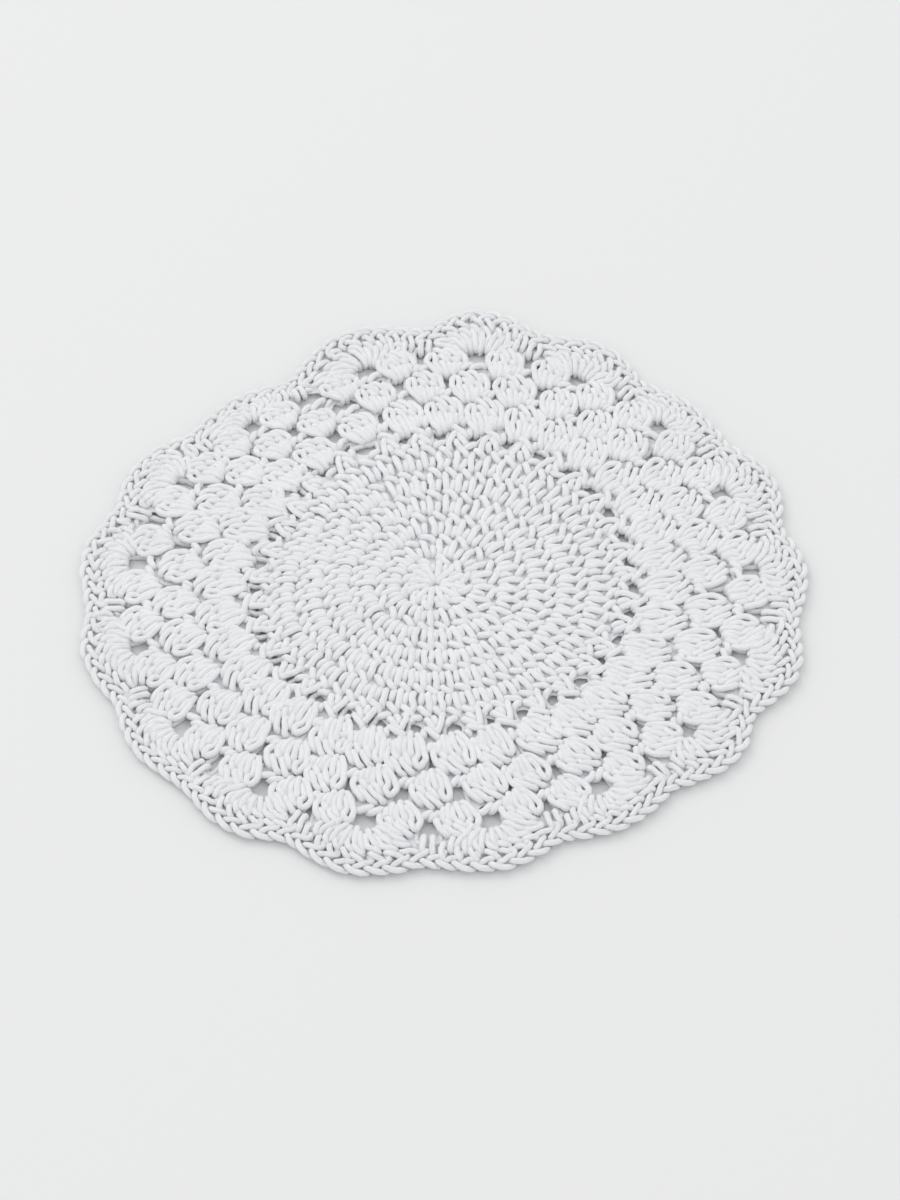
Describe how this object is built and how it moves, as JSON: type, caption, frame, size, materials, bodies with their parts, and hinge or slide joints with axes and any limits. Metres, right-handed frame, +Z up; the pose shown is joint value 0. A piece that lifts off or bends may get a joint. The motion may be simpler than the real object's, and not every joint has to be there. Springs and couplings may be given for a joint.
{
  "type": "round crochet placemat",
  "caption": "Round crochet placemat in thick white cotton cord: a close disc, an openwork round, rounds of clusters and a scalloped border of fans with a braided edge.",
  "frame": {"origin": "under the middle of the mat's outline box, on the face it rests on", "axes": "+Z up out of the table, +X to the right and +Y away from a sitter; the starting ring lies 5 mm to -X and 5.4 mm to -Y of the origin"},
  "size_m": [0.3786, 0.3852, 0.0074],
  "materials": {
    "cotton_cord": "matt, soft round cotton cord, cool white"
  },
  "bodies": {
    "root": {"mat": "cotton_cord"}
  },
  "joints": []
}
